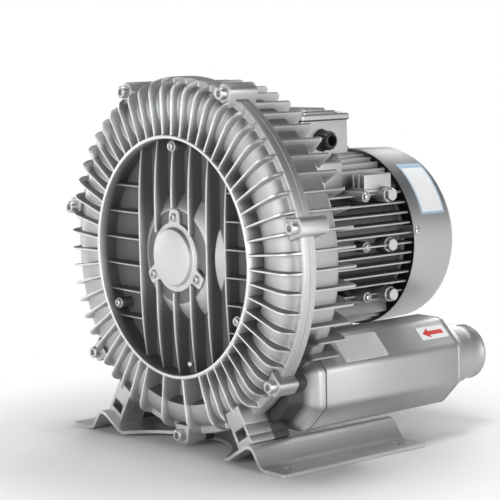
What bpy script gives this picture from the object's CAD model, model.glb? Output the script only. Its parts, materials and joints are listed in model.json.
# %% [markdown]
# The part is a side channel blower: two ribbed aluminium castings around a bladed wheel, an
# electric motor behind them, twin silencers below and a pressed foot plate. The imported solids
# are the frame. Each new surface here is worked out in millimetres with numpy, measured from the
# shaft's axis and from the front face of the cover's flange, and then put into the frame.

# %% Load the frame
import json
import math

import bmesh
import bpy
import numpy as np
from mathutils import Matrix, Vector


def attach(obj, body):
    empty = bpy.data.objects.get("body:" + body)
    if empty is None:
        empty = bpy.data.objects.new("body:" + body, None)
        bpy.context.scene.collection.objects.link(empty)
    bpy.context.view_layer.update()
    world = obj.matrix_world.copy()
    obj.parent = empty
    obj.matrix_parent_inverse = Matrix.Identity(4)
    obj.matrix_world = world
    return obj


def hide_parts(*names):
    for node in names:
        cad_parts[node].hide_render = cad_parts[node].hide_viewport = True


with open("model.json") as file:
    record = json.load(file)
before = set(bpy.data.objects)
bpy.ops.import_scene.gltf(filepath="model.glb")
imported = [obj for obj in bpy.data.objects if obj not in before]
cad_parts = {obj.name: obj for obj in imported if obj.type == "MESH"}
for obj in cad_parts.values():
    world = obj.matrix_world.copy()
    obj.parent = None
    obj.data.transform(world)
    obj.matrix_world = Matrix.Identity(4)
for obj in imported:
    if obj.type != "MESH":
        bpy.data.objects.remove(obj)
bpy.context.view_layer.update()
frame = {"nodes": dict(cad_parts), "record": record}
scene = bpy.context.scene

# %% [markdown]
# A piece is placed by a small frame of its own: a starting point and three directions. Outlines
# are drawn in the first two directions and carried along the third. The blower's main frame has
# its first direction to the right, its second upwards and its third along the shaft.

# %% Directions
X, Y, Z = np.eye(3)
FRONT = -Y
SHAFT_UP = 206.0
FACE = -78.5


def place(across=0.0, up=0.0, depth=0.0, u=X, v=Z, w=Y):
    """A frame at (across, depth, up) from the shaft's axis and the flange face."""
    return np.array([across, FACE + depth, SHAFT_UP + up]), np.array(u), np.array(v), np.array(w)


def put(spots, frame_at):
    """Points (a, b, c) in a frame become start + a u + b v + c w."""
    start, u, v, w = frame_at
    spots = np.asarray(spots, float)
    return start + spots[..., :1] * u + spots[..., 1:2] * v + spots[..., 2:] * w


def heading(angle):
    """Two unit directions: (cos, sin) of an angle in radians, and that a quarter turn on."""
    along = np.array([math.cos(angle), math.sin(angle)])
    return along, np.array([-along[1], along[0]])


def spots_on(radius, degrees):
    """Points at the given angles on a circle: radius times (cos, sin)."""
    return [tuple(radius * heading(math.radians(angle))[0]) for angle in degrees]


SHAFT = place()
THIRDS = (90, 210, 330)
QUARTERS = (45, 135, 225, 315)
print("shaft at height", SHAFT_UP, "mm, flange face at", FACE, "mm")

# %% [markdown]
# Five ways of making a surface do for nearly every piece: a grid of points, a profile turned
# about an axis, an outline carried through a wall's thickness with its edges rounded, outlines
# of changing size joined in a row, and a cast rib whose section widens towards its foot. Each
# gives points and faces, so several of them can be joined in one piece.

# %% Grids and turned shapes
def grid_faces(rows, columns, around=False, closed=False):
    """Quads between neighbours of a grid. around joins the last column to the first, and closed
    joins the last row to the first."""
    i = np.arange(rows if closed else rows - 1)
    j = np.arange(columns if around else columns - 1)
    i, j = [a.ravel() for a in np.meshgrid(i, j, indexing="ij")]
    below, beside = (i + 1) % rows, (j + 1) % columns
    corners = [(i, j), (i, beside), (below, beside), (below, j)]
    return np.stack([row * columns + column for row, column in corners], 1)


def grid(points, around=False, closed=False):
    """A surface through an array of rows x columns x 3 points."""
    rows, columns = points.shape[:2]
    return points.reshape(-1, 3), grid_faces(rows, columns, around, closed).tolist()


def circle(count, radius=1.0, start=0.0):
    """Points at equal angles: radius times (cos t, sin t)."""
    t = start + np.arange(count) * 2 * np.pi / count
    return radius * np.stack([np.cos(t), np.sin(t)], 1)


def turned(profile, frame_at=SHAFT, count=96, shape=None):
    """A profile of (depth, radius) turned about the frame's third direction. shape, where it is
    given, is a factor on the radius for each row and angle."""
    depth, radius = np.asarray(profile, float).T
    points = np.empty((len(depth), count, 3))
    points[..., :2] = radius[:, None, None] * circle(count)[None]
    points[..., 2] = depth[:, None]
    if shape is not None:
        points[..., :2] *= shape[..., None]
    return grid(put(points, frame_at), around=True, closed=True)


def arc(middle, radius, first, last, count=5):
    """Points on a part of a circle, between two angles in degrees."""
    t = np.radians(np.linspace(first, last, count))
    return np.stack([middle[0] + radius * np.cos(t), middle[1] + radius * np.sin(t)], 1)


print("a turned ring has", len(turned([(0, 1), (0, 2), (1, 2)])[1]), "faces")


# %% Outlines and their corners
def inset(outline, distance):
    """The outline moved inwards: each corner goes along the sum of its two sides' normals."""
    after = np.roll(outline, -1, 0) - outline
    before = outline - np.roll(outline, 1, 0)
    normals = []
    for side in (before, after):
        long = np.maximum(np.hypot(*side.T), 1e-9)
        normals.append(np.stack([-side[:, 1], side[:, 0]], 1) / long[:, None])
    both = normals[0] + normals[1]
    share = np.maximum((both * normals[1]).sum(1), 0.35)
    return outline + distance * both / share[:, None]


def counter_clockwise(outline):
    """The outline in the order in which its area, half the sum of a b' - a' b, is positive."""
    outline = np.asarray(outline, float)
    a, b = outline.T
    area = (a * np.roll(b, -1) - b * np.roll(a, -1)).sum()
    return outline if area > 0 else outline[::-1]


def rectangle(left, right, low, high):
    """Its four corners, in counter-clockwise order."""
    return np.array([(left, low), (right, low), (right, high), (left, high)])


def smooth_corners(corners, radius, steps=4):
    """Each corner of a polygon becomes a small curve that starts and ends radius away from it:
    (1 - t)^2 start + 2 t (1 - t) corner + t^2 end."""
    corners = counter_clockwise(corners)
    before = np.roll(corners, 1, 0) - corners
    after = np.roll(corners, -1, 0) - corners
    radius = np.broadcast_to(radius, len(corners))[:, None]
    start = corners + before / np.hypot(*before.T)[:, None] * radius
    end = corners + after / np.hypot(*after.T)[:, None] * radius
    t = np.linspace(0, 1, steps + 1)[None, :, None]
    start, middle, end = start[:, None], corners[:, None], end[:, None]
    return ((1 - t) ** 2 * start + 2 * t * (1 - t) * middle + t * t * end).reshape(-1, 2)


print("a softened square has", len(smooth_corners(rectangle(0, 4, 0, 4), 1)), "corners")


# %% Outlines carried through a thickness
def at_depth(outline, depth):
    """A flat outline with all its points at one depth."""
    return np.column_stack([outline, np.full(len(outline), depth)])


def capped(rings, frame_at):
    """Rings with equal counts, joined in turn and closed by a face at both ends."""
    count = rings.shape[1]
    faces = grid_faces(len(rings), count, around=True).tolist()
    faces.append(list(range(count))[::-1])
    faces.append([(len(rings) - 1) * count + n for n in range(count)])
    return put(rings.reshape(-1, 3), frame_at), faces


def loft(stations, frame_at=SHAFT):
    """Outlines with equal counts, each at its own depth, joined in turn and closed at the ends."""
    return capped(np.array([at_depth(outline, depth) for depth, outline in stations]), frame_at)


def rim(depth, way, radius, steps):
    """Stations (depth, inset) of a rim's quarter circle. At an angle t it is radius (1 - sin t)
    short of the depth, and moved in by radius (1 - cos t)."""
    if not radius:
        return [(depth, 0.0)]
    return [(depth - way * radius * (1 - math.sin(t)), radius * (1 - math.cos(t)))
            for t in np.linspace(0, np.pi / 2, steps + 1)]


def prism(outline, low, high, edge=0.6, frame_at=SHAFT, steps=3, foot=0.0):
    """An outline carried from low to high. edge rounds its far rim, and foot its near rim."""
    outline = counter_clockwise(outline)
    way = 1 if high > low else -1
    stations = rim(low, -way, foot, steps)[::-1] + rim(high, way, edge, steps)
    return loft([(depth, inset(outline, move)) for depth, move in stations], frame_at)


def tube(outer, inner, low, high, edge=0.5, frame_at=SHAFT):
    """A plate with one hole: two outlines with the same number of points, joined at both ends,
    each rim with a small bevel."""
    run = [(low, edge), (low + edge, 0), (high - edge, 0), (high, edge)]
    outer, inner = counter_clockwise(outer), counter_clockwise(inner)
    rings = [at_depth(inset(outer, move), depth) for depth, move in run]
    rings += [at_depth(inset(inner, -move), depth) for depth, move in run[::-1]]
    return grid(put(np.array(rings), frame_at), around=True, closed=True)


print("a rounded disc has", len(prism(circle(24), 0, 3)[1]), "faces")

# %% Cast ribs
RIB_SECTION = [(0.0, 1.75), (0.03, 1.35), (0.10, 1.18), (0.90, 0.94), (0.965, 0.82), (0.99, 0.55),
               (1.0, 0.2)]


def cast_rib(start, end, foot, top, thick, frame_at=SHAFT):
    """A rib from start to end. foot and top give its low and high edge at each station along
    it; its section is RIB_SECTION, as (share of the height, share of half the thickness)."""
    foot, top = np.asarray(foot, float), np.asarray(top, float)
    start, end = np.asarray(start, float), np.asarray(end, float)
    along = (end - start) / np.hypot(*(end - start))
    aside = np.array([-along[1], along[0]])
    share, width = np.array(RIB_SECTION + [(height, -wide) for height, wide in RIB_SECTION[::-1]]).T
    line = start + np.linspace(0, 1, len(top))[:, None] * (end - start)
    flat = line[:, None] + aside * (width * thick / 2)[None, :, None]
    depth = foot[:, None] + (top - foot)[:, None] * share[None]
    return capped(np.concatenate([flat, depth[..., None]], 2), frame_at)


print("a rib's section has", 2 * len(RIB_SECTION), "corners")

# %% [markdown]
# A piece is one mesh at the origin, in metres. Doubles are merged, faces are turned outwards,
# and edges sharper than a chosen angle stay crisp while the rest is shaded smoothly. It then
# rides on its body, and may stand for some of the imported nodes.

# %% Put a piece together
pieces = {}


def piece(name, parts, body="housing", slot="cast_aluminium", nodes=(), crisp=38):
    """Join parts, each (points, faces), in one mesh object."""
    points, faces, first = [], [], 0
    for spots, quads in parts:
        points.append(np.asarray(spots).reshape(-1, 3))
        faces += [[first + corner for corner in face] for face in quads]
        first += len(points[-1])
    mesh = bpy.data.meshes.new(name)
    mesh.from_pydata((np.concatenate(points) * 0.001).tolist(), [], faces)
    shape = bmesh.new()
    shape.from_mesh(mesh)
    bmesh.ops.remove_doubles(shape, verts=shape.verts, dist=2e-6)
    bmesh.ops.recalc_face_normals(shape, faces=shape.faces)
    shape.to_mesh(mesh)
    shape.free()
    mesh.shade_smooth()
    mesh.set_sharp_from_angle(angle=math.radians(crisp))
    item = bpy.data.objects.new(name, mesh)
    scene.collection.objects.link(item)
    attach(item, body)
    if nodes:
        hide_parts(*nodes)
    pieces[name] = (item, slot)
    print(f"{name}: {len(mesh.polygons)} faces")
    return item


print("packed nodes that a piece can stand for:", len(frame["nodes"]))

# %% [markdown]
# The front cover is the face of the blower. Its outer ring is a round bulge over the side
# channel, crossed by 52 thin ribs, with two more over the stripper at the bottom. The ring is
# one height field on a polar grid: every column follows an angle, with columns crowded at the
# flanks of each rib, and every row follows a radius. A height is the ring's own surface, or the
# rib's crest where a rib stands, with a steep flank and a soft foot between them.

# %% Profile of the cover's ring
CREST = -18.5
RIM = 190.0
FLANGE_BACK = 17.0


def ring_profile():
    """Rows of (radius, depth of the hollow, depth of the crest). The bulge is half an ellipse,
    and from a radius of 172 on the crest falls as the root of 1 - share^2.2."""
    lip = [(125.5, 6.0, 6.0), (125.5, -2.0, -2.0), (125.5, -17.8, -17.8),
           (125.8, -18.6, -18.6), (126.5, -19.0, -19.0), (128.5, -19.0, -19.0),
           (129.2, -18.6, -18.7), (129.6, -17.8, CREST), (129.9, -8.0, CREST),
           (130.3, 2.0, CREST), (131.2, 3.7, CREST), (132.6, 3.2, CREST)]
    t = np.radians(np.linspace(168, 12, 15))
    bulge = np.stack([158 + 24.5 * np.cos(t), 2.5 - 13.5 * np.sin(t)], 1)
    bulge = np.concatenate([bulge, [(183.4, 0.1), (185.0, 0.0), (186.8, 0.0), (188.2, 0.05)]])
    between = np.array([176.0, 178.5, 180.6])
    bulge = np.concatenate([bulge, np.stack([between, np.interp(between, *bulge.T)], 1)])
    bulge = bulge[np.argsort(bulge[:, 0])]
    fall = np.clip((bulge[:, 0] - 172) / 16.6, 0, 1)
    crest = CREST * np.sqrt(1 - fall**2.2)
    wall = [(189.0, 0.1), (189.7, 0.6), (RIM, 1.5), (RIM, 8.5), (189.3, 8.9), (189.3, 9.6),
            (RIM, 10.0), (RIM, FLANGE_BACK), (172.5, FLANGE_BACK), (172.5, 9.7), (125.5, 9.7)]
    return np.concatenate([lip, np.column_stack([bulge, crest]), [(r, d, d) for r, d in wall]])


ring_rows = ring_profile()
print("ring profile:", len(ring_rows), "rows")

# %% Ribs on the ring
RIB_SPREAD = 160.1
STRIPPER_RIBS = [270 - 7.1, 270 + 7.1]
rib_angles = np.append(90 + np.linspace(-RIB_SPREAD, RIB_SPREAD, 52), STRIPPER_RIBS)
FLANK = [(0.0, 1.0), (0.8, 1.0), (1.05, 0.975), (1.2, 0.94), (1.6, 0.05), (2.1, 0.012), (3.0, 0.0)]
FOOT = FLANK[-1][0]
POCKET_DEPTH = 4.0


def ring_field():
    """Depth at radius r and at distance s from the nearest rib: ground + (crest - ground) *
    flank(s). Beside the stripper's ribs, in gaps over 7 degrees, the ground is a flat pocket."""
    radius, base, crest = ring_rows.T
    pocket = np.where((radius > 131.5) & (radius < 153.5), POCKET_DEPTH, base)
    gaps = np.append(rib_angles[1:], rib_angles[0] + 360) - rib_angles
    angles, depths = [], []
    for start, gap in zip(rib_angles, gaps):
        ground = pocket if gap > 7 else base
        long = np.radians(gap) * radius
        stations = FLANK + [(FOOT + (long - 2 * FOOT) * share, 0.0) for share in (0.25, 0.5, 0.75)]
        stations += [(long - s, height) for s, height in FLANK[:0:-1]]
        for s, height in stations:
            angles.append(np.radians(start) + s / radius)
            depths.append(ground + (np.minimum(crest, ground) - ground) * height)
    angles, radius = np.stack(angles, 1), radius[:, None]
    points = np.stack([radius * np.cos(angles), radius * np.sin(angles), np.stack(depths, 1)], 2)
    return grid(put(points, SHAFT), around=True, closed=True)


print("ribs on the ring:", len(rib_angles))

# %% [markdown]
# Inside the ring lies a flat disc with six upright ribs and short cross ribs at both sides. They
# are single cast ribs, each a little thicker at its foot, and their crests fall from the hub
# towards the ring along one curve. Round the bearing the disc rises as a cone, and the ribs run
# up to the bearing cap's outline.

# %% Disc, hub and lattice
UPRIGHT_PITCH = 28.5
CROSS_PITCH = 28.8
LATTICE_REACH = 126.5
BOSS_CIRCLE = 117.0


def lattice_crest(distance):
    """Depth of a crest at a distance from the centre: flat at the hub, curving back at the ring."""
    share = np.clip((np.abs(distance) - 52) / 75, 0, 1)
    return -15.0 + 6.0 * share**2.2


def lattice_rib(start, end, stations, sunk=0.0):
    """A rib on the disc between two points, its crest as deep as lattice_crest and sunk say."""
    line = np.linspace(start, end, stations)
    crest = lattice_crest(np.hypot(*line.T)) + sunk
    return cast_rib(start, end, np.full(stations, 5.0), crest, thick=2.6)


def cap_radius(angle, disc=37.0, half_lobe=8.8, top=51.0):
    """Radius of the cap's outline: the larger of a disc and the nearest screw lobe. A lobe is the
    rounded box ((|sin| / half_lobe)^7 + (cos / top)^7)^(-1/7), and the larger of both is the
    power mean (disc^24 + lobe^24)^(1/24), which leaves a fillet."""
    away = (angle - np.pi / 2 + np.pi / 3) % (2 * np.pi / 3) - np.pi / 3
    lobe = ((np.abs(np.sin(away)) / half_lobe) ** 7 + (np.cos(away) / top) ** 7) ** (-1 / 7)
    return (disc**24 + lobe**24) ** (1 / 24)


def cap_edge(x, way):
    """Height at which an upright line at x leaves the cap's outline, upwards or downwards."""
    z = way * np.linspace(0, 60, 601)
    inside = np.hypot(x, z) < cap_radius(np.arctan2(z, x))
    return z[inside][-1] + way * 1.2


def disc_parts():
    """The disc with its cone, the upright ribs, the cross ribs and the screws' bosses."""
    profile = [(9.7, 0), (9.7, 126.8), (4.0, 126.8), (3.9, 120), (3.4, 69), (3.2, 67.5),
               (2.4, 66.3), (-1.0, 62.5), (-4.4, 58.0), (-7.2, 53.2), (-7.8, 51.8), (-8.0, 50.0),
               (-8.0, 0)]
    parts = [turned(profile)]
    for x in UPRIGHT_PITCH * np.arange(-2, 4):
        reach = math.sqrt(LATTICE_REACH**2 - x * x)
        runs = [(-reach, reach)]
        if abs(x) < 37:
            runs = [(-reach, cap_edge(x, -1)), (cap_edge(x, 1), reach)]
        parts += [lattice_rib((x, low), (x, high), 25) for low, high in runs]
    for edge, side in ((-2 * UPRIGHT_PITCH, -1), (3 * UPRIGHT_PITCH, 1)):
        for z in CROSS_PITCH * np.arange(-2.5, 3):
            reach = side * math.sqrt(LATTICE_REACH**2 - z * z)
            parts.append(lattice_rib((edge, z), (reach, z), 13, sunk=0.4))
    for hub_boss, outer_boss in zip(spots_on(41, THIRDS), spots_on(BOSS_CIRCLE, THIRDS)):
        parts.append(prism(circle(32, 11) + hub_boss, 5, -8, 0.8))
        parts.append(prism(circle(28, 6) + outer_boss, 5, -12, 0.7))
    return parts


print("lattice crest at the hub and at the ring:", lattice_crest(np.array([0, 127])))

# %% [markdown]
# Seven ears stand round the rim for the screws that hold the cover to the housing. Each is a
# squarish boss with straight sides down to the rim. The two foot lugs at the bottom are radial
# bars with a window for the nut and a wide foot on the base's slope, which is tilted by 31.2
# degrees. The lugs reach the slope's plane, and its distance from the shaft sets their length.

# %% Ears and lugs
EAR_CIRCLE = 192.0
EARS = np.radians(360 / 7 * np.arange(7) - 90)
TILT = math.radians(31.2)
WEB_TOP = 6.5
SLOPE_FOOT = 92.5
SEAT = (SHAFT_UP - WEB_TOP + SLOPE_FOOT * math.tan(TILT)) * math.cos(TILT)


def ear_outline(angle, root):
    """A squarish half circle, (cos^0.6, sin^0.6), with two straight sides down to the root."""
    along, across = heading(angle)
    t = np.linspace(-np.pi / 2, np.pi / 2, 17)
    out, aside = np.cos(t).clip(0) ** 0.6, np.sign(np.sin(t)) * np.abs(np.sin(t)) ** 0.6
    tip = along * EAR_CIRCLE + 9.5 * (out[:, None] * along + aside[:, None] * across)
    foot = np.array([along * root + across * 11.5, along * root - across * 11.5])
    return np.concatenate([tip, foot])


def radial_bar(angle, low, high, left, right):
    """A bar along a radius from low to high, between two distances to its side."""
    along, across = heading(angle)
    return smooth_corners(rectangle(low, high, left, right) @ [along, across], 1.0, 2)


def lug_parts(low, high):
    """Lug with a window: a bar, two bars beside the window, and a foot that joins them."""
    half, window = 12, 8
    bars = [(176, SEAT - 20, -half, half, 1.0), (SEAT - 21, SEAT - 8, window, half, 0.8),
            (SEAT - 21, SEAT - 8, -half, -window, 0.8), (SEAT - 9, SEAT, -half, half, 0.8)]
    return [prism(radial_bar(angle, *bar), low, high, edge, foot=edge)
            for angle in (TILT - math.pi / 2, math.pi * 1.5 - TILT) for *bar, edge in bars]


def ears(root, low, high):
    """The seven ears between two depths, their sides running in to a root radius."""
    return [prism(ear_outline(angle, root), low, high, 0.9) for angle in EARS]


fittings = ears(181, FLANGE_BACK, -7.5) + lug_parts(-14.5, FLANGE_BACK)
piece("cover_ring", [ring_field()] + disc_parts() + fittings, nodes=["front_cover"])

# %% [markdown]
# Fasteners are small but they tell how the machine is held together. A socket screw is a turned
# head with a hexagon sunk in it; a hexagon bolt has a chamfer that cuts its corners round. Both
# are rings of 24 points, so a ring can change from a circle to a hexagon on the way.

# %% Screws and nuts
HEAD_POINTS = 24


def hexagon(corner):
    """Radius of a hexagon at each angle: half its flats over the cosine of the angle to the
    nearest flat."""
    t = np.arange(HEAD_POINTS) * 2 * np.pi / HEAD_POINTS
    near = (t + np.pi / 6) % (np.pi / 3) - np.pi / 6
    return corner * math.cos(math.pi / 6) / np.cos(near)


def rings(radii_depths, frame_at):
    """A closed form through rings, each (radius or 24 radii, depth along the frame)."""
    ring = circle(HEAD_POINTS)
    return loft([(depth, ring * np.broadcast_to(radius, HEAD_POINTS)[:, None])
                 for radius, depth in radii_depths], frame_at)


def socket_screw(at_frame, radius, height, key):
    """A round head with a rounded rim, and a hexagon sunk to under half its height."""
    sunk = hexagon(key)
    return rings([(radius, 0), (radius, height - 0.7), (radius - 0.25, height - 0.25),
                  (radius - 0.8, height), (sunk + 0.3, height), (sunk, height - 0.35),
                  (sunk, height * 0.45)], at_frame)


def hex_bolt(at_frame, corner, height):
    """Hexagon head on a thin washer face, its corners cut by a chamfer."""
    flats = corner * math.cos(math.pi / 6)
    head = hexagon(corner)
    return rings([(flats + 0.4, 0), (flats + 0.4, 0.5), (head, 0.5), (head, height - 1.1),
                  (np.minimum(head, flats * 1.04), height - 0.5), (flats - 0.3, height)], at_frame)


def pan_screw(at_frame, radius, height):
    """A low domed head with a small hexagon in it."""
    dome = [(radius - height * 0.9 * (1 - math.cos(t)), height * (0.25 + 0.75 * math.sin(t)))
            for t in np.radians([0, 25, 50, 70])]
    sunk = hexagon(radius * 0.48)
    top = dome[-1][1]
    socket = [(sunk + 0.2, top + 0.05), (sunk, top - 0.2), (sunk, top - height * 0.4)]
    return rings([(radius, 0)] + dome + socket, at_frame)


def fasteners(name, parts, *nodes):
    """A piece of plated steel."""
    piece(name, parts, slot="plated_steel", nodes=nodes)


def socket_heads(name, spots, depth, size, node, way=FRONT):
    """Socket screws with one size (radius, height, key) on a face at one depth."""
    fasteners(name, [socket_screw(place(*spot, depth, w=way), *size) for spot in spots], node)


socket_heads("flange_screw_heads", spots_on(EAR_CIRCLE, np.degrees(EARS)), -7.5,
             (6.5, 8.0, 3.5), "flange_screws")
socket_heads("boss_screw_heads", spots_on(BOSS_CIRCLE, THIRDS), -12,
             (4.3, 3.0, 2.0), "inner_boss_screws")

# %% [markdown]
# The bearing cap is the round lid in the middle, with three screw lobes. Its outline is a radius
# that depends on the angle, worked out above because the ribs end there, and its raised crown is
# turned. The drain pin below it is a small turned knob.

# %% Bearing cap and drain pin
CAP_FACE = -11.6
CAP_CIRCLE = 42.0
CAP_POINTS = 288
cap_angles = np.arange(CAP_POINTS) * 2 * np.pi / CAP_POINTS
cap_outline = cap_radius(cap_angles)[:, None] * circle(CAP_POINTS)
crown = [(-10.0, 0), (-10.0, 33.0), (CAP_FACE, 32.6), (CAP_FACE - 0.6, 31.4), (-15.6, 30.4),
         (-16.3, 30.0), (-16.7, 29.2), (-16.7, 0)]
piece("cap_plate", [prism(cap_outline, -8.0, CAP_FACE, 0.8), turned(crown)], nodes=["bearing_cap"])
socket_heads("cap_screw_heads", spots_on(CAP_CIRCLE, THIRDS), CAP_FACE + 0.1,
             (4.8, 3.4, 2.5), "bearing_cap_screws")
pin = [(-14.6, 0), (-14.4, 1.6), (-13.6, 2.9), (-12.4, 3.5), (-11.2, 3.4), (-10.4, 2.5),
       (-10.0, 2.0), (5.0, 2.0), (5.0, 0)]
fasteners("drain_pin_head", [turned(pin, place(23, -112), 24)], "drain_pin")

# %% [markdown]
# Behind the flange the rear housing has a flat rear wall and a rounded corner, and 42 cooling
# fins stand on it. A fin is a flat outline with rounded corners in a plane through the shaft,
# carried through three millimetres with both edges rounded. Two eight-sided ducts leave the
# housing below and widen to the silencers' flanges, so each is a loft of growing octagons.

# %% Rear housing
FIN_ANGLES = np.linspace(-38.7, 218.7, 42)
FIN_RADIUS, FIN_BACK = 184.5, 80.0
NECK = [(20, 66), (30, 67), (35, 69.5), (40, 75), (44, 82), (48, 90), (50.8, 95), (51.8, 96),
        (59.2, 96), (60, 94.6)]
SILENCERS = {"left": (-107.0, -131.0), "right": (107.0, -131.0)}


def radial_frame(degrees, depth=0.0, radius=0.0):
    """First direction outwards, second along the shaft, third sideways, starting at a radius."""
    (a, b), (c, d) = heading(math.radians(degrees))
    outwards, aside = np.array([a, 0, b]), np.array([c, 0, d])
    return place(depth=depth)[0] + radius * outwards, outwards, Y, aside


def octagon(flats, corner, centre):
    """Eight corners at flats / 2 / cos(22.5 degrees), softened, about a centre."""
    reach = flats / 2 / math.cos(math.radians(22.5))
    shape = np.array(spots_on(reach, 22.5 + 45 * np.arange(8)))
    return smooth_corners(shape, corner * math.tan(math.radians(22.5))) + centre


def housing_parts():
    """The turned shell, its fins, the two ducts, the motor's pads, the ears and the lugs."""
    shell = [(17, 172.5), (17, 176.6), (17.6, 177.25)]
    shell += arc((55.25, 168.25), 9, 90, 0, 8).tolist()
    shell += arc((42.3, 155.25), 22, 0, -90, 12).tolist()
    shell += [(42.3, 86), (43.5, 84.5), (45.5, 84), (84, 84), (85, 83), (85, 76), (50.3, 76),
              (50.3, 30), (36.3, 30), (36.3, 172.5)]
    fin = smooth_corners([(175, 17), (FIN_RADIUS, 17), (FIN_RADIUS, FIN_BACK), (148, FIN_BACK),
                          (148, 61), (156, 62.5), (172, 60)], [0.5, 0.5, 5.0, 4.0, 0.5, 0.5, 1.0])
    parts = [turned(shell, count=144)]
    parts += [prism(fin, -1.5, 1.5, 0.9, radial_frame(angle), steps=2, foot=0.9)
              for angle in FIN_ANGLES]
    for centre in SILENCERS.values():
        parts.append(loft([(depth, octagon(flats, flats / 8, centre)) for depth, flats in NECK]))
    parts += [prism(circle(28, 8) + spot, 40, 85) for spot in spots_on(86.5, QUARTERS)]
    return parts + ears(174, FLANGE_BACK, 29.5) + lug_parts(FLANGE_BACK, 38)


piece("housing_casting", housing_parts(), nodes=["rear_housing"])

# %% [markdown]
# Each silencer is an extruded tube with eight sides and rounded corners, closed by a cap that
# narrows to the hose stub. The tube keeps its hole, so that the stub can be looked into.

# %% Silencers
TUBE_FLATS = 96
TUBE_END = 257
COLLAR_END = TUBE_END + 5
cap_profile = [(258, 37.5), (258, 42.5), (261.5, 41.8), (263, 40.6), (281, 34.6), (283.5, 33.4),
               (285, 33), (298.6, 33), (299.6, 32.6), (300, 31.8), (300.3, 30.6), (301, 30),
               (317.4, 30), (318.2, 30.7), (320.8, 30.7), (321.6, 30.2), (322, 29.2), (322, 27),
               (321.4, 26.2), (320.5, 26), (284, 26), (262, 35)]
for name, centre in SILENCERS.items():
    outer = octagon(TUBE_FLATS, 12, centre)
    bore, collar_bore = (circle(len(outer), radius, math.radians(13.5)) + centre
                         for radius in (29.3, 37.4))
    shell = dict(slot="silencer_shell", crisp=50)
    piece("silencer_tube_" + name, [tube(outer, bore, 60.9, TUBE_END, 1.0)],
          nodes=["silencer_body_" + name], **shell)
    end = [tube(outer, collar_bore, TUBE_END, COLLAR_END, 1.0), turned(cap_profile, place(*centre))]
    piece("silencer_end_" + name, end, nodes=["silencer_cap_" + name], **shell)
    spots = np.array(spots_on(43.5, 22.5 + 90 * np.arange(4))) + centre
    socket_heads("end_screw_heads_" + name, spots, COLLAR_END, (3.5, 3.0, 1.7),
                 "silencer_cap_screws_" + name, way=Y)

# %% [markdown]
# The foot plate is one pressed sheet. Its section is a line of straight runs with bent corners,
# and every point of that line carries a closed loop: along the sheet on top, back below. The web
# between the ridges is cut away in an arc at both ends. The outer flanges are flat, with two
# slots each; there the sheet is a ring between the slot and a rectangle.

# %% Section of the foot plate
SHEET = 3.5
PLATE_HALF = 100.5
RIDGE_TOP = 24.0
FLOOR = (np.zeros(3), X, Y, Z)


def soft_line(corners, radius, steps=5):
    """An open line whose inner corners are bent, each over its own radius, by the same curve as
    in smooth_corners."""
    corners = np.array(corners, float)
    line = [corners[0]]
    for before, corner, after, size in zip(corners[:-2], corners[1:-1], corners[2:], radius):
        start = corner + (before - corner) / np.hypot(*(before - corner)) * size
        end = corner + (after - corner) / np.hypot(*(after - corner)) * size
        for t in np.linspace(0, 1, steps + 1):
            line.append((1 - t) ** 2 * start + 2 * t * (1 - t) * corner + t * t * end)
    return np.array(line + [corners[-1]])


ridge_x = SLOPE_FOOT + (RIDGE_TOP - WEB_TOP) / math.tan(TILT)
ridge = [(88.5, WEB_TOP), (SLOPE_FOOT, WEB_TOP), (ridge_x, RIDGE_TOP), (132.0, RIDGE_TOP),
         (146.0, SHEET), (152.0, SHEET)]
web_x = np.concatenate([np.linspace(0, 60, 13), np.linspace(64, 88, 13)])
web = np.stack([web_x, np.full_like(web_x, WEB_TOP)], 1)
half_section = np.concatenate([web, soft_line(ridge, (3.9, 5.2, 5.2, 5.8))])
section = np.concatenate([half_section[:0:-1] * (-1, 1), half_section])
print("section line:", len(section), "points, ridge from", round(ridge_x, 1), "mm")

# %% Foot plate
def pressed_sheet():
    """Each point of the line carries a loop: (share of the half width, share of the thickness).
    The half width is 100.5 less the web's cut, sqrt(98.7^2 - x^2) - 44.7."""
    ahead = np.gradient(section, axis=0)
    ahead /= np.hypot(*ahead.T)[:, None]
    normal = np.stack([-ahead[:, 1], ahead[:, 0]], 1)
    cut = np.sqrt(np.maximum(98.7**2 - section[:, 0] ** 2, 0)) - 44.7
    half = PLATE_HALF - np.where(np.abs(section[:, 0]) < 88, cut, 0)
    top = [(share, 0) for share in (-1, *np.linspace(-0.985, 0.985, 9), 1)]
    bottom = [(share, 1) for share in (1, 0.985, -0.985, -1)]
    loop = []
    for share, drop in [(-1, 0.12)] + top + [(1, 0.12)] + bottom:
        across, up = (section - normal * SHEET * drop).T
        loop.append(np.column_stack([across, half * share, up]))
    return capped(np.stack(loop, 1), FLOOR)


def slotted_corner(side, end):
    """A rectangle of 29 x 44 mm round a slot. Both are radii that depend on the angle: the box is
    the nearer of its two sides, and the slot is the nearer of its straight side, 4.5 / |sin|,
    and its round end, 3.5 |cos| + sqrt(4.5^2 - (3.5 sin)^2)."""
    corners = np.arctan2([22, 22, -22, -22], [15, -15, -15, 15]) % (2 * np.pi)
    t = np.union1d(np.linspace(0, 2 * np.pi, 48, endpoint=False), corners)
    ray = np.stack([np.cos(t), np.sin(t)], 1)
    c, s = np.abs(ray).T
    box = np.minimum(14.5 / np.maximum(c, 1e-9), 22 / np.maximum(s, 1e-9))
    round_end = 3.5 * c + np.sqrt(np.maximum(4.5**2 - (3.5 * s) ** 2, 0))
    slot = np.minimum(4.5 / np.maximum(s, 1e-9), round_end)
    outer = ray * box[:, None] + (side * 166.5, end * 78.5)
    hole = ray * slot[:, None] + (side * 163.0, end * 77.5)
    return tube(outer, hole, 0, SHEET, 0.0, FLOOR)


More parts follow.
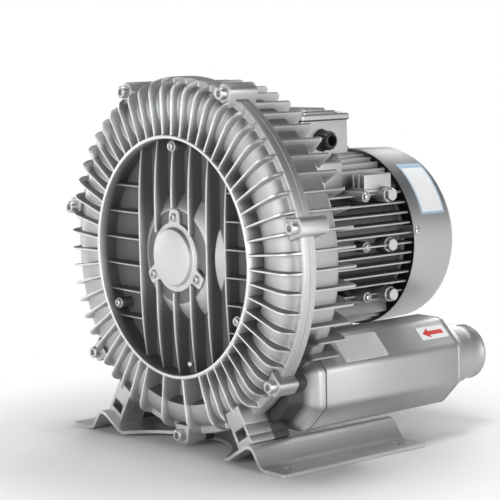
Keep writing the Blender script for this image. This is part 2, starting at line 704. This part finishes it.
sheet_parts = [pressed_sheet()]
for side in (-1, 1):
    sheet_parts += [slotted_corner(side, end) for end in (-1, 1)]
    between_slots = rectangle(152, 181, -56.5, 56.5) * (side, 1)
    sheet_parts.append(prism(between_slots, 0, SHEET, 0.0, FLOOR))
piece("foot_plate", sheet_parts, slot="sheet_steel", nodes=["base_plate"], crisp=40)

# %% [markdown]
# The motor's frame is a cast tube with level fins at its sides and upright fins above and below.
# All fins end on one round envelope, so that they fit the cowl's mouth. At the upper corners a
# shelf carries three upright plates, pads stand out at the lower ones, and bosses take the screws
# of feet that other mountings need.

# %% Motor frame
FIN_PITCH = 11.0
FIN_ENVELOPE = 98.0
FIN_ROOT = 78.0
FIN_FRONT, FIN_REAR = 101, 246
SIDE_SPOTS = [(side, row) for side in (-1, 1) for row in (-55, 0, 55)]
BOLT_DEPTH, PLUG_DEPTH = 214, 179
SIDE_FACE = 95


def fin_outline(low, high, middle, thick, level):
    """Outline of one fin: a long bar, level or upright, with rounded tips."""
    half = thick / 2
    corners = rectangle(low, high, middle - half, middle + half)
    return smooth_corners(corners if level else corners[:, ::-1], half * 0.8, 3)


def side_place(side, row, depth, out=0):
    """A frame that looks sideways, out from the shaft's plane."""
    return place(side * out, row, depth, u=Y, v=Z, w=side * X)


def corner_parts(side):
    """The shelf with its upright plates above, and the pad below."""
    shelf = np.array([(0, 0), (86, 60), (86, 63), (60, 63)]) * (side, 1)
    pad = np.array([(0, 0), (86, -60), (60, -68)]) * (side, 1)
    parts = [prism(smooth_corners(shelf, [1, 1.2, 1.2, 1], 3), 185, 226, 1.0, foot=1.0),
             prism(smooth_corners(pad, 1.5, 3), 165, 226, 1.5, foot=1.5)]
    for middle in (84.5, 76.0, 67.5):
        plate = rectangle(middle - 1.5, middle + 1.5, 58, 78) * (side, 1)
        parts.append(prism(smooth_corners(plate, 1.1, 3), 185, 226, 1.0, foot=1.0))
    return parts


def frame_parts():
    """The tube with its flange, the fins, both corners, the terminal box's neck and the bosses."""
    wall = [(85, 75), (85, 91.2), (85.8, 92), (93.2, 92), (94, 91.2), (94, 82), (95.5, 80),
            (FIN_REAR, 80), (FIN_REAR, 75)]
    parts = [turned(wall)]
    for middle in FIN_PITCH * np.arange(-5, 6):
        root, tip = (math.sqrt(radius**2 - middle**2) for radius in (FIN_ROOT, FIN_ENVELOPE))
        for low, high in ((-tip, -root), (root, tip)):
            for level in (True, False):
                outline = fin_outline(low, high, middle, 2.6, level)
                parts.append(prism(outline, FIN_FRONT, FIN_REAR, 0.8, foot=0.8))
    for side in (-1, 1):
        parts += corner_parts(side)
    neck = smooth_corners([(-62, 40), (62, 40), (62, 92), (54, 100), (-54, 100), (-62, 92)], 2.5, 3)
    parts.append(prism(neck, 122, 176, 2.0, foot=2.0))
    for spot in SIDE_SPOTS:
        for boss, depth in ((circle(32, 8.5), BOLT_DEPTH), (circle(28, 6), PLUG_DEPTH)):
            parts.append(prism(boss, 60, SIDE_FACE, 0.8, side_place(*spot, depth)))
    for spot in spots_on(84, QUARTERS):
        parts.append(prism(circle(28, 7) + spot, 222, FIN_REAR, 0.5, foot=2.0))
    return parts


piece("motor_casting", frame_parts(), nodes=["motor_frame"])
bolts = [hex_bolt(side_place(*spot, BOLT_DEPTH, SIDE_FACE), 7.5, 5.5) for spot in SIDE_SPOTS]
plugs = [pan_screw(side_place(*spot, PLUG_DEPTH, SIDE_FACE), 4.5, 3.0) for spot in SIDE_SPOTS]
fasteners("side_bolt_heads", bolts, "frame_side_bolts")
fasteners("side_plug_heads", plugs, "frame_side_plugs")

# %% [markdown]
# The cowl over the fan is deep drawn from thin sheet. One open surface runs from its front edge
# back over the bend to the middle of its rear face, and Solidify gives it its thickness. The
# air slots are cells of that surface left out, between columns that keep to each slot's sides.

# %% Fan cowl
COWL_FRONT, COWL_REAR = 246.0, 319
COWL_RADIUS = 101.0
SECTORS = 24
SLOT_RINGS = ((48, 74), (20, 44))


def cowl_surface():
    """Rows follow (depth, radius), six columns follow each sector of 15 degrees. On the rear face
    the columns stand asin(half width / radius) off the slot's middle, and 5 degrees elsewhere."""
    rows = [(COWL_FRONT, 100.4), (246.3, COWL_RADIUS), (248.5, COWL_RADIUS), (262, 100.6),
            (283, 99.8), (300, 99.1)] + arc((303, 84), 15.2, 86, 4, 9).tolist()
    rows += [(318.6, 82)] + [(COWL_REAR, radius) for radius in (79, 74, 61, 48, 44, 32, 20, 12, 5)]
    depth, radius = np.array(rows).T
    half = np.interp(radius, [12, 20, 44, 48, 74, 79], [1.0, 1.3, 4.0, 4.0, 7.4, 6.8])
    wide = np.where(radius > 80, np.radians(5.0), np.arcsin(np.clip(half / radius, 0, 0.12)))
    angles = []
    for middle in np.radians(90 + 360 / SECTORS * np.arange(SECTORS)):
        angles.append(np.full(len(rows), middle - np.pi / SECTORS))
        angles += [middle + wide * share for share in (-1, -0.5, 0, 0.5, 1)]
    angles = np.stack(angles, 1)
    points = np.stack([radius[:, None] * np.cos(angles), radius[:, None] * np.sin(angles),
                       np.broadcast_to(depth[:, None], angles.shape)], 2)
    count = angles.shape[1]
    faces = grid_faces(len(rows), count, around=True)
    row, column = faces[:, 0] // count, faces[:, 0] % count % 6
    in_slot = sum((radius[row] <= outer) & (radius[row] > inner) for inner, outer in SLOT_RINGS) > 0
    faces = faces[~(in_slot & (column >= 1) & (column <= 4))].tolist()
    faces.append([(len(rows) - 1) * count + n for n in range(count)])
    return put(points.reshape(-1, 3), SHAFT), faces


cowl = piece("fan_cowl_sheet", [cowl_surface()], slot="cowl_sheet", nodes=["fan_cowl"], crisp=45)
sheet = cowl.modifiers.new("Sheet", "SOLIDIFY")
sheet.thickness = 0.0014
sheet.offset = -1.0
heads = []
for degrees in 7 + 90 * np.arange(4):
    start, outwards, along, aside = radial_frame(degrees, COWL_FRONT + 6, COWL_RADIUS - 0.3)
    heads.append(pan_screw((start, aside, along, outwards), 4.5, 2.5))
fasteners("cowl_screw_heads", heads, "cowl_screws")

# %% [markdown]
# The terminal box sits on the motor's neck. It is a rounded box with a lid that is a little
# larger, and the lid's top rises in two shallow steps. The black cable gland at its side is a
# hexagon, a ribbed dome nut and the hole for the cable.

# %% Terminal box
def box_outline(half, front, rear, corner):
    """A rectangle with soft corners: half to each side, and from the front to the rear depth."""
    return smooth_corners(rectangle(-half, half, front, rear), corner, 5)


UPWARDS = place(v=Y, w=Z)
piece("terminal_body", [prism(box_outline(48, 128, 199, 5), 100, 137, 0.3, UPWARDS, foot=1.0)],
      nodes=["terminal_box"])
lid = [prism(box_outline(50, 126, 201, 6), 138.2, 144.2, 1.6, UPWARDS, foot=0.8),
       prism(box_outline(40, 136, 191, 7), 143, 147.2, 1.8, UPWARDS, steps=4),
       prism(box_outline(32, 144, 183, 7), 145, 150.2, 1.8, UPWARDS, steps=4)]
piece("terminal_lid", lid, nodes=["terminal_box_lid"])
lid_heads = [pan_screw(place(across, 143.9, depth, v=Y, w=Z), 3.8, 2.2)
             for across in (-41, 41) for depth in (135.5, 191.5)]
fasteners("lid_screw_heads", lid_heads, "terminal_lid_screws")

# %% Cable gland
GLAND = place(48.0, 116, 157, u=Y, v=Z, w=X)
GRIP_RIBS = 16
dome = [(4.8, 9.9), (5.4, 10.4), (12.5, 10.4), (15.5, 9.6), (17.4, 8.2), (18.0, 6.9), (18.0, 6.0),
        (12, 5.6), (5, 5.6)]
grip = np.ones((len(dome), 96))
grip[1:5] += 0.035 * np.sign(np.sin(np.arange(96) * 2 * np.pi / 96 * GRIP_RIBS))
collar = rings([(12.0, 0), (hexagon(12.5), 0.3), (hexagon(12.5), 4.4), (11.2, 5.0)], GLAND)
stub = turned([(-6, 7.8), (5, 7.8), (14.5, 7.6), (15, 7.2), (15, 5.5), (-6, 5.5)], GLAND, 48)
piece("gland_dome", [turned(dome, GLAND, shape=grip), collar, stub], slot="black_plastic",
      nodes=["cable_gland", "cable_gland_nut"], crisp=50)

# %% [markdown]
# Hexagon bolts and nuts hold the lugs to the slopes of the foot plate. Their axis stands square
# on the slope, so their frame is turned with it.

# %% Foot bolts
for name, side in (("left", -1), ("right", 1)):
    down = np.array([side * math.sin(TILT), 0, -math.cos(TILT)])
    along = np.cross(Y, down)
    nuts, heads = [], []
    for depth in (1.25, 27.5):
        spot = place(depth=depth)[0] + down * SEAT
        nuts.append(hex_bolt((spot - down * 9.0, Y, along, -down), 7.5, 6.5))
        nuts.append(prism(circle(24, 4.0), 9, 17.5, 0.8, (spot, Y, along, -down)))
        heads.append(hex_bolt((spot + down * SHEET, Y, along, down), 7.5, 5.3))
    fasteners("foot_nut_" + name, nuts, "foot_nuts_" + name)
    fasteners("foot_bolt_heads_" + name, heads, "foot_bolts_" + name)

# %% [markdown]
# Plates and stickers are left bare: a riveted metal plate on the silencer's slanted side, a
# white label beside it with a plain arrow that points to the cover, and a white label with a
# plain pale blue edging on the cowl.

# %% Plate and arrow label
SLANT = math.sqrt(0.5)
slanted, lifted = (X - Z) * SLANT, (X + Z) * SLANT
plate_at = (place(*SILENCERS["right"])[0] + lifted * TUBE_FLATS / 2, slanted, Y, lifted)
blank = prism(smooth_corners(rectangle(-16, 16, 92, 154), 2.5), 0, 0.8, 0.3, plate_at)
rivets = [pan_screw((put([across, depth, 0.7], plate_at), slanted, Y, lifted), 1.5, 0.9)
          for across in (-12.5, 12.5) for depth in (95.5, 150.5)]
piece("blank_plate", [blank] + rivets, slot="plate_metal", nodes=["nameplate"])
sticker = smooth_corners(rectangle(-11, 6, 213, 254), 1.5)
piece("arrow_label", [prism(sticker, -0.1, 0.15, 0.05, plate_at)], slot="plate_metal")
arrow = [(-5.2, 249), (-5.2, 228), (-9, 228), (-2.5, 218), (4, 228), (0.2, 228), (0.2, 249)]
piece("plain_arrow", [prism(arrow, 0.1, 0.3, 0.05, plate_at)], slot="plate_metal")

# %% Label on the cowl
def cowl_label(low, high, first, last, radius, thick, across=25, along=9):
    """A label bent round the cowl between two depths and two angles: two layers of a cone, which
    narrows by 2 mm in 57 from the cowl's front edge on, joined all round."""
    t = np.radians(np.linspace(first, last, across))
    d = np.linspace(low, high, along)[:, None]
    layers = []
    for extra in (0.0, thick):
        flare = radius - (d - COWL_FRONT) * 2.0 / 57 + extra
        depths = np.broadcast_to(d, (along, across))
        layers.append(np.stack([flare * np.cos(t), flare * np.sin(t), depths], 2))
    points, faces = grid(put(np.concatenate([layers[0], layers[1][::-1]]), SHAFT), closed=True)
    for column in (0, across - 1):
        faces.append([row * across + column for row in range(2 * along)])
    return points, faces


piece("cowl_label", [cowl_label(263, 301, 17, 56, COWL_RADIUS, 0.3)], slot="plate_metal")
edges = [(263.3, 265.0, 17.2, 55.8), (299.0, 300.7, 17.2, 55.8), (264.8, 299.2, 17.2, 18.2),
         (264.8, 299.2, 51.8, 55.8)]
edging = [cowl_label(*edge, COWL_RADIUS + 0.28, 0.12) for edge in edges]
piece("cowl_label_edge", edging, slot="plate_metal")

# %% [markdown]
# Finishes are node materials. To keep their maths readable, a small class stands for one number
# on its way through the shader: writing 1 - cloud * 0.3 adds the Math nodes for it. All other
# nodes come from one method that takes the node's type, its settings and its inputs. The sky is
# a node tree too, so the method belongs to a class of its own, and a finish builds on it.

# %% A number on its way through the shader
class Wire:
    """One output socket; the operators add Math nodes to its tree."""

    def __init__(self, nodes, socket):
        self.nodes = nodes
        self.socket = socket

    def __add__(self, other):
        return self.nodes.maths("ADD", self, other)

    def __sub__(self, other):
        return self.nodes.maths("SUBTRACT", self, other)

    def __rsub__(self, other):
        return self.nodes.maths("SUBTRACT", other, self)

    def __mul__(self, other):
        return self.nodes.maths("MULTIPLY", self, other)

    def __truediv__(self, other):
        return self.nodes.maths("DIVIDE", self, other)

    def __pow__(self, other):
        return self.nodes.maths("POWER", self, other)

    __radd__ = __add__
    __rmul__ = __mul__

    def clamp(self):
        """Kept between 0 and 1."""
        return self.nodes.maths("MINIMUM", self.nodes.maths("MAXIMUM", self, 0.0), 1.0)

    def sine(self):
        """Of an angle in radians."""
        return self.nodes.maths("SINE", self)


class Nodes:
    """A node tree under construction."""

    def __init__(self, tree):
        self.tree = tree

    def node(self, kind, settings=None, inputs=None, output=0):
        """Add a node, set its fields or its ramp's stops, then its inputs, and give one output."""
        item = self.tree.nodes.new(kind)
        for field, value in (settings or {}).items():
            if field == "stops":
                ramp = item.color_ramp.elements
                ramp[0].position, ramp[-1].position = value[0][0], value[-1][0]
                for position, _ in value[1:-1]:
                    ramp.new(position)
                for stop, (_, colour) in zip(ramp, value):
                    stop.color = colour
            else:
                setattr(item, field, value)
        for socket, value in (inputs or {}).items():
            self.feed(item.inputs[socket], value)
        return Wire(self, item.outputs[output])

    def feed(self, socket, value):
        """Link a wire to a socket, or write a value in it."""
        if isinstance(value, Wire):
            self.tree.links.new(value.socket, socket)
        else:
            socket.default_value = value

    def maths(self, operation, *values):
        """One Math node on values or wires."""
        return self.node("ShaderNodeMath", {"operation": operation}, dict(enumerate(values)))

    def part_of(self, axis, vector):
        """X, Y or Z of a vector."""
        return self.node("ShaderNodeSeparateXYZ", {}, {0: vector}, output=axis)


print("shader maths ready")


# %% A finish under construction
class Finish(Nodes):
    """A material under construction: its nodes, its position on the piece and its shader."""

    def __init__(self, name, metallic=0.0, roughness=0.5):
        self.material = bpy.data.materials.new(name)
        self.material.use_nodes = True
        super().__init__(self.material.node_tree)
        self.shader = self.tree.nodes["Principled BSDF"]
        self.link(metallic, "Metallic")
        self.link(roughness, "Roughness")
        self.here = self.node("ShaderNodeTexCoord", output="Object")

    def link(self, value, socket):
        """Feed one of the shader's own inputs."""
        self.feed(self.shader.inputs[socket], value)

    def cloud(self, scale, detail=3.0, rough=0.55, at=None):
        """Noise from 0 to 1 with that many patches a metre, by default over the position."""
        return self.node("ShaderNodeTexNoise", {}, {"Vector": at or self.here, "Scale": scale,
                                                    "Detail": detail, "Roughness": rough})

    def stretched(self, x, y, z):
        """The position times a factor for each axis: a small factor draws noise out along it."""
        return self.node("ShaderNodeMapping", {}, {"Vector": self.here, "Scale": (x, y, z)})

    def blend(self, share, first, second):
        """A colour between two others, each three numbers or a wire."""
        first, second = (c if isinstance(c, Wire) else (*c, 1) for c in (first, second))
        inputs = {0: share, 6: first, 7: second}
        return self.node("ShaderNodeMix", {"data_type": "RGBA"}, inputs, output=2)

    def bump(self, height, strength, distance):
        """Relief of that height, which is distance metres where height is 1."""
        inputs = {"Height": height, "Strength": strength, "Distance": distance}
        self.link(self.node("ShaderNodeBump", {}, inputs), "Normal")

    def faces_along(self, axis):
        """The surface normal's part along an axis, from -1 to 1."""
        return self.part_of(axis, self.node("ShaderNodeTexCoord", output="Normal"))

    def about_shaft(self):
        """Depth behind the flange face, radius about the shaft and height over it, in mm."""
        aside, along, up = (self.part_of(axis, self.here) * 1000 for axis in "XYZ")
        above = up - SHAFT_UP
        return along - FACE, (aside * aside + above * above) ** 0.5, above

    def dusty(self, tone, strength):
        """Darker where the surface looks up, by strength times 1.5 (normal's Z - 0.15)."""
        share = ((self.faces_along("Z") - 0.15) * 1.5).clamp() * strength
        return self.blend(share, tone, (0.13, 0.133, 0.138))


def grey(value):
    """A metal's grey, a little bluer than neutral."""
    return value, value + 0.005, value + 0.01


print("finish tools ready")

# %% [markdown]
# Cast aluminium is satin and slightly cloudy, with the fine grain that shot blasting leaves. Dust
# lies on what looks upwards. On the cover the crests of the ribs are brighter and smoother than
# the hollows between them, where grime settles; there the depth along the shaft decides the mix.
# Between the fins of the housing and the motor it gets darker with the way inwards from the fins'
# tips, as deep gaps do where dust collects.

# %% Cast metal
HOLLOW_GREY, DISC_GREY, GAP_GREY = (0.34, 0.345, 0.35), (0.21, 0.214, 0.22), (0.10, 0.103, 0.108)
DISC_EDGE = 127.6


def cover_grime(finish, tone, skin):
    """Gives the tone and what is added to the roughness. hollow is (depth + 13) / 14 inside the
    ring, and / 6 on the disc; the cone round the bearing and the ribs' crests are lighter."""
    along, away, _ = finish.about_shaft()
    disc, inside = (DISC_EDGE - away).clamp(), ((183.0 - away) / 3.0).clamp()
    hollow = ((along + 13.0) / (14.0 - disc * 8.0)).clamp() * (0.8 + skin * 0.4) * inside
    tone = finish.blend(hollow.clamp(), tone, HOLLOW_GREY)
    tone = finish.blend((hollow * disc).clamp(), tone, DISC_GREY)
    facing = (finish.faces_along("Y") * -2.5 - 0.7).clamp()
    cone = (away - 49.5).clamp() * (67.3 - away).clamp() * ((along + 9.0) * 2).clamp() * facing
    tone = finish.blend(cone * 0.85, tone, grey(0.72))
    crest = ((-14.2 - along) / 1.4).clamp()
    return finish.blend(crest * 0.85, tone, grey(0.90)), hollow * 0.12 - crest * 0.06


def gap_dust(finish, tone, skin, rim_radius, rear, way, strength):
    """Gives the tone and what is added to the roughness. The way inside the fins' envelope, a
    cylinder that ends at a rear depth, darkens. So does the housing's foot behind the cover:
    lower than 62 mm under the shaft, and less than 45 mm behind the flange face."""
    along, away, above = finish.about_shaft()
    inside = finish.maths("MINIMUM", rim_radius - away, rear - along)
    under = ((-62.0 - above) / 14.0).clamp() * ((45.0 - along) / 8.0).clamp() * 1.2
    shade = (((inside - 1.2) / way).clamp() * strength + under) * (0.8 + skin * 0.4)
    return finish.blend(shade.clamp(), tone, GAP_GREY), shade * 0.15


def cast_metal(name, dark, light, grime=False, gaps=None, metallic=0.86, dust=0.8):
    """gaps is (fins' outer radius, fins' rear depth, way to full darkness in mm, strength)."""
    finish = Finish(name, metallic)
    patches = finish.cloud(22.0, 4.0)
    grain = finish.cloud(1400.0, 2.0, 0.7)
    skin = finish.cloud(260.0, 3.0, 0.6)
    tone = finish.blend((patches * 0.9 + skin * 0.35 - 0.2).clamp(), grey(dark), grey(light))
    rough = 0.38 + patches * 0.12 + grain * 0.08
    if grime:
        tone, added = cover_grime(finish, tone, skin)
        rough = rough + added
    tone = finish.dusty(tone, dust)
    if gaps:
        tone, added = gap_dust(finish, tone, skin, *gaps)
        rough = rough + added
    finish.link(tone, "Base Color")
    finish.link(rough, "Roughness")
    finish.bump(grain * 0.6 + skin, 0.35, 0.00025)
    return finish.material


CASTINGS = {
    "cover": ("cast_cover", 0.50, 0.70, {"grime": True}),
    "cast_aluminium": ("cast_aluminium", 0.47, 0.66, {}),
    "housing": ("cast_housing", 0.50, 0.70, {"gaps": (FIN_RADIUS, FIN_BACK, 12.0, 0.35)}),
    "motor": ("cast_motor", 0.50, 0.70, {"gaps": (FIN_ENVELOPE, 400.0, 11.0, 0.8)}),
    "cap": ("cast_cap", 0.68, 0.78, {"metallic": 0.5}),
}
finishes = {key: cast_metal(name, dark, light, **more)
            for key, (name, dark, light, more) in CASTINGS.items()}
print("cast finishes:", *finishes)

# %% [markdown]
# Rolled and drawn sheet shows fine lines in one direction, so its noise is stretched. The foot
# plate is rubbed bright on its ridges and flanges, and the cowl and the silencers hold dust on
# top. Stacked sheets and wound wire are a sine along the shaft, and moulded plastic, rubber,
# fibre and label film are a fine grain with soft patches.

# %% Sheet, bands and mouldings
def rolled_metal(name, dark, light, stretch, roughness=0.3, metallic=0.92, dust=0.0, rubbed=0.0):
    """rubbed brightens by height: from 9 mm up over 13 mm, and half as much from 5 mm down."""
    finish = Finish(name, metallic)
    lines = finish.cloud(1.0, 3.0, 0.6, finish.stretched(*stretch))
    patches = finish.cloud(14.0)
    tone = finish.blend((lines * 0.6 + patches * 0.6 - 0.1).clamp(), dark, light)
    if rubbed:
        height = finish.part_of("Z", finish.here) * 1000
        bright = ((height - 9.0) / 13.0).clamp() + (1 - height / 5.0).clamp() * 0.5
        tone = finish.blend(bright * rubbed, tone, (0.86, 0.865, 0.87))
    finish.link(finish.dusty(tone, dust) if dust else tone, "Base Color")
    finish.link(roughness - 0.06 + lines * 0.1 + patches * 0.06, "Roughness")
    finish.bump(lines, 0.12, 0.0001)
    return finish.material


def banded(name, dark, light, pitch, metallic, roughness):
    """A sine along the shaft with that pitch in mm: 2 pi y / pitch."""
    finish = Finish(name, metallic)
    wave = (finish.part_of("Y", finish.here) * (2000 * math.pi / pitch)).sine() * 0.5 + 0.5
    speck = finish.cloud(300.0)
    finish.link(finish.blend((wave * 0.7 + speck * 0.3).clamp(), dark, light), "Base Color")
    finish.link(roughness - 0.05 + speck * 0.1, "Roughness")
    finish.bump(wave, 0.4, 0.0003)
    return finish.material


def moulded(name, dark, light, roughness, grain=900.0, depth=0.0002):
    """A fine grain of that scale, which is also the relief, and soft patches."""
    finish = Finish(name)
    fine, patches = finish.cloud(grain), finish.cloud(30.0)
    tone = finish.blend((patches * 0.8 + fine * 0.3 - 0.05).clamp(), dark, light)
    finish.link(tone, "Base Color")
    finish.link(roughness - 0.06 + fine * 0.08 + patches * 0.06, "Roughness")
    finish.bump(fine, 0.3, depth)
    return finish.material


print("three more kinds of finish ready")

# %% All other finishes
ROLLED = {
    "machined_aluminium": ((0.62, 0.63, 0.64), (0.80, 0.80, 0.81), (40, 1500, 40)),
    "silencer_shell": (grey(0.44), grey(0.56), (300, 8, 300), 0.5, 0.85, 0.35),
    "sheet_steel": (grey(0.50), grey(0.62), (60, 6, 60), 0.36, 0.85, 0.0, 0.8),
    "cowl_sheet": (grey(0.44), grey(0.57), (30, 500, 30), 0.40, 0.88, 0.7),
    "plated_steel": ((0.50, 0.50, 0.49), (0.74, 0.74, 0.72), (400, 400, 400), 0.28),
    "shaft_steel": ((0.45, 0.45, 0.46), (0.64, 0.64, 0.65), (60, 2500, 60), 0.25),
    "plate_metal": ((0.66, 0.67, 0.68), (0.78, 0.79, 0.80), (900, 12, 900), 0.42, 0.5),
}
BANDED = {
    "core_steel": ((0.16, 0.17, 0.18), (0.34, 0.35, 0.36), 1.0, 0.7, 0.5),
    "winding": ((0.36, 0.17, 0.08), (0.66, 0.36, 0.18), 1.6, 0.6, 0.4),
}
FILM = (0.35, 500.0, 0.00003)
MOULDED = {
    "black_rubber": ((0.02, 0.02, 0.02), (0.06, 0.06, 0.06), 0.7),
    "gasket_fibre": ((0.10, 0.10, 0.11), (0.20, 0.20, 0.21), 0.8, 600.0),
    "foam": ((0.10, 0.10, 0.11), (0.26, 0.26, 0.27), 0.95, 350.0, 0.001),
    "black_plastic": ((0.012, 0.012, 0.014), (0.035, 0.035, 0.04), 0.42),
    "fan_plastic": ((0.05, 0.05, 0.055), (0.11, 0.11, 0.12), 0.5),
    "cream_plastic": ((0.70, 0.66, 0.56), (0.80, 0.77, 0.68), 0.45),
    "label": ((0.84, 0.85, 0.86), (0.92, 0.93, 0.93), *FILM),
    "label_blue": ((0.30, 0.48, 0.66), (0.38, 0.56, 0.73), *FILM),
    "label_red": ((0.62, 0.04, 0.04), (0.72, 0.07, 0.06), *FILM),
}
for make, table in ((rolled_metal, ROLLED), (banded, BANDED), (moulded, MOULDED)):
    finishes.update({name: make(name, *values) for name, values in table.items()})
print(len(finishes), "finishes")

# %% Give every piece and node its finish
OWN_FINISH = {"cover_ring": "cover", "housing_casting": "housing", "motor_casting": "motor",
              "cap_plate": "cap", "arrow_label": "label", "cowl_label": "label",
              "plain_arrow": "label_red", "cowl_label_edge": "label_blue"}
node_slot = {entry["node"]: entry["material_slot"] for entry in frame["record"]["subparts"]}
for name, (item, slot) in pieces.items():
    item.data.materials.append(finishes[OWN_FINISH.get(name, slot)])
for name, item in frame["nodes"].items():
    finish = finishes[node_slot[name]]
    for held in item.material_slots:
        held.material = finish
    if not item.material_slots:
        item.data.materials.append(finish)
print("finishes given to", len(pieces), "pieces and", len(frame["nodes"]), "nodes")

# %% [markdown]
# The object stands on a plain pale floor. Like a photographer's paper sweep, the floor runs into
# white: from 18 cm off its middle it blends into a white glow. Only the camera, reflections and
# glass see this glow, so it doesn't light the object.

# %% Floor
FLOOR_HALF = 12.0
GLOW_START, GLOW_WAY = 0.18, 0.27
floor_mesh = bpy.data.meshes.new("floor")
corners = at_depth(rectangle(-FLOOR_HALF, FLOOR_HALF, -FLOOR_HALF, FLOOR_HALF), -0.0004)
floor_mesh.from_pydata(corners.tolist(), [], [(0, 1, 2, 3)])
floor = bpy.data.objects.new("floor", floor_mesh)
scene.collection.objects.link(floor)
ground = Finish("pale_floor", roughness=0.6)
ground.link(ground.blend(ground.cloud(3.0), (0.66, 0.665, 0.67), (0.70, 0.705, 0.71)), "Base Color")
seen, mirrored, through = (ground.node("ShaderNodeLightPath", output=f"Is {kind} Ray")
                           for kind in ("Camera", "Glossy", "Transmission"))
aside, ahead = (ground.part_of(axis, ground.here) for axis in "XY")
far = (((aside * aside + ahead * ahead) ** 0.5 - GLOW_START) / GLOW_WAY).clamp()
share = (seen + mirrored + through).clamp() * far * far * (3 - 2 * far)
plain, glow = Wire(ground, ground.shader.outputs[0]), ground.node("ShaderNodeEmission")
both = ground.node("ShaderNodeMixShader", {}, {0: share, 1: plain, 2: glow})
ground.feed(ground.tree.nodes["Material Output"].inputs["Surface"], both)
floor_mesh.materials.append(ground.material)
print("floor", 2 * FLOOR_HALF, "m wide, white from", GLOW_START + GLOW_WAY, "m on")

# %% [markdown]
# The sky is white at the horizon and falls to dark grey overhead, so that metal shows a bright
# edge and a dark body. Five round lamps stand about the object: a large key lamp in front, one
# at each side, one behind for the motor's end, and a small one above for the shadow.

# %% Sky and lamps
world = bpy.data.worlds.new("soft_sky")
world.use_nodes = True
scene.world = world
sky = Nodes(world.node_tree)
height = sky.part_of("Z", sky.node("ShaderNodeTexCoord", output="Generated"))
stops = [(0.035, (1.0, 1.0, 1.0, 1)), (0.15, (0.44, 0.45, 0.46, 1)), (0.7, (0.12, 0.123, 0.128, 1))]
ramp = sky.node("ShaderNodeValToRGB", {"stops": stops}, {"Fac": height})
sky_light = sky.tree.nodes["Background"]
sky.feed(sky_light.inputs["Color"], ramp)
sky.feed(sky_light.inputs["Strength"], 1.0)


def lamp(name, where, aim, size, watts):
    """A round lamp of that diameter in metres, turned so that it shines along aim - where."""
    light = bpy.data.lights.new(name, "AREA")
    light.shape = "DISK"
    light.size = size
    light.energy = watts
    item = bpy.data.objects.new(name, light)
    item.location = where
    item.rotation_euler = (Vector(aim) - Vector(where)).to_track_quat("-Z", "Y").to_euler()
    scene.collection.objects.link(item)


lamp("key", (0.3, -2.0, 0.55), (0, 0, 0.2), 1.7, 21)
lamp("side", (2.1, 0.1, 0.42), (0, 0.05, 0.18), 1.3, 19)
lamp("back", (-0.9, 2.2, 0.9), (0, 0, 0.2), 1.4, 30)
lamp("left", (-2.2, -0.3, 0.7), (0, 0, 0.2), 1.2, 14)
lamp("top", (-0.2, 0.1, 2.0), (0, 0, 0), 0.6, 18)
print("sky with", len(stops), "stops and", len(bpy.data.lights), "lamps")

# %% [markdown]
# The camera has the photograph's place, turn and lens. They come from a fit to the cover's rim,
# the screws and the foot plate.

# %% Camera
azimuth, elevation, roll = (math.radians(v) for v in (49.657, 6.682, -1.231))
back = Vector((math.sin(azimuth) * math.cos(elevation), -math.cos(azimuth) * math.cos(elevation),
               math.sin(elevation)))
level = Vector((math.cos(azimuth), math.sin(azimuth), 0))
upright = back.cross(level)
right = math.cos(roll) * level + math.sin(roll) * upright
up = -math.sin(roll) * level + math.cos(roll) * upright
lens = bpy.data.cameras.new("camera")
lens.lens = 129.6
lens.sensor_width = 36.0
camera = bpy.data.objects.new("camera", lens)
stand = Vector((1.4915, -1.2522, 0.4331))
camera.matrix_world = Matrix.Translation(stand) @ Matrix((right, up, back)).transposed().to_4x4()
scene.collection.objects.link(camera)
scene.camera = camera
scene.view_settings.view_transform = "Standard"
print("camera stands", round(stand.length, 2), "m from the frame's origin")
